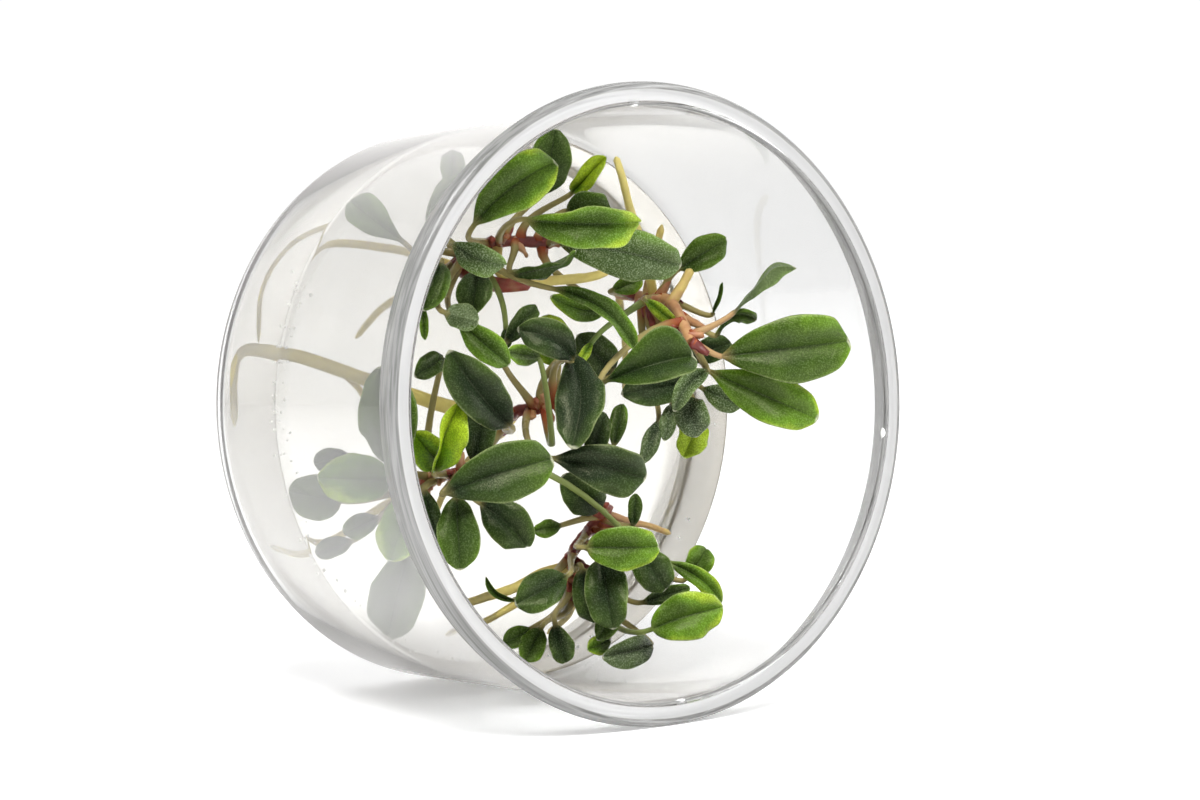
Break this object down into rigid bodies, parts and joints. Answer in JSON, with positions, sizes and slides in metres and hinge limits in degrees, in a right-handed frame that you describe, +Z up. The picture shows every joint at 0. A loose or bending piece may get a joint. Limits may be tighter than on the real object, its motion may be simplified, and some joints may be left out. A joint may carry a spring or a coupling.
{
  "type": "bucephalandra in a tissue culture cup",
  "caption": "Small bucephalandra plants with oval green leaves and red rhizomes, rooted in clear gel in the base of a clear round culture cup that lies on its side.",
  "frame": {"origin": "bottom centre of the bounding box, on the surface that the cup lies on", "axes": "+Z up; the cup's mouth faces -Y and its flat base faces +Y, tipped up by 4.3 degrees; +X to the right as one looks into the mouth"},
  "size_m": [0.1, 0.0672, 0.0997],
  "materials": {
    "clear_plastic": "clear, slightly hazy polypropylene",
    "clear_gel": "clear, pale cream culture gel with a wet sheen",
    "rhizome_skin": "red-brown skin with pale yellow roots",
    "top_leaf_skin": "satin green leaf, paler below",
    "right_leaf_skin": "satin bright green leaf, paler below",
    "middle_leaf_skin": "satin dark blue-green leaf with a grey sheen",
    "left_leaf_skin": "satin green leaf, paler below",
    "bottom_leaf_skin": "satin green leaf, paler below"
  },
  "bodies": {
    "root": {"bottom_leaf_1": "bottom_leaf_skin", "bottom_leaf_10": "bottom_leaf_skin", "bottom_leaf_18": "bottom_leaf_skin", "bottom_leaf_2": "bottom_leaf_skin", "bottom_leaf_3": "bottom_leaf_skin", "bottom_leaf_4": "bottom_leaf_skin", "bottom_leaf_5": "bottom_leaf_skin", "bottom_leaf_7": "bottom_leaf_skin", "bottom_leaf_8": "bottom_leaf_skin", "bottom_rhizome": "rhizome_skin", "cup": "clear_plastic", "gel": "clear_gel", "left_leaf_1": "left_leaf_skin", "left_leaf_10": "left_leaf_skin", "left_leaf_11": "left_leaf_skin", "left_leaf_12": "left_leaf_skin", "left_leaf_14": "left_leaf_skin", "left_leaf_2": "left_leaf_skin", "left_leaf_3": "left_leaf_skin", "left_leaf_4": "left_leaf_skin", "left_leaf_6": "left_leaf_skin", "left_leaf_7": "left_leaf_skin", "left_leaf_9": "left_leaf_skin", "left_rhizome": "rhizome_skin", "middle_leaf_1": "middle_leaf_skin", "middle_leaf_10": "middle_leaf_skin", "middle_leaf_2": "middle_leaf_skin", "middle_leaf_4": "middle_leaf_skin", "middle_leaf_5": "middle_leaf_skin", "middle_leaf_7": "middle_leaf_skin", "middle_leaf_8": "middle_leaf_skin", "middle_leaf_9": "middle_leaf_skin", "middle_rhizome": "rhizome_skin", "right_leaf_1": "right_leaf_skin", "right_leaf_10": "right_leaf_skin", "right_leaf_11": "right_leaf_skin", "right_leaf_12": "right_leaf_skin", "right_leaf_13": "right_leaf_skin", "right_leaf_14": "right_leaf_skin", "right_leaf_15": "right_leaf_skin", "right_leaf_2": "right_leaf_skin", "right_leaf_3": "right_leaf_skin", "right_leaf_6": "right_leaf_skin", "right_leaf_7": "right_leaf_skin", "right_rhizome": "rhizome_skin", "top_leaf_1": "top_leaf_skin", "top_leaf_10": "top_leaf_skin", "top_leaf_11": "top_leaf_skin", "top_leaf_12": "top_leaf_skin", "top_leaf_14": "top_leaf_skin", "top_leaf_15": "top_leaf_skin", "top_leaf_17": "top_leaf_skin", "top_leaf_2": "top_leaf_skin", "top_leaf_3": "top_leaf_skin", "top_leaf_4": "top_leaf_skin", "top_leaf_5": "top_leaf_skin", "top_leaf_7": "top_leaf_skin", "top_leaf_8": "top_leaf_skin", "top_rhizome": "rhizome_skin"}
  },
  "joints": []
}
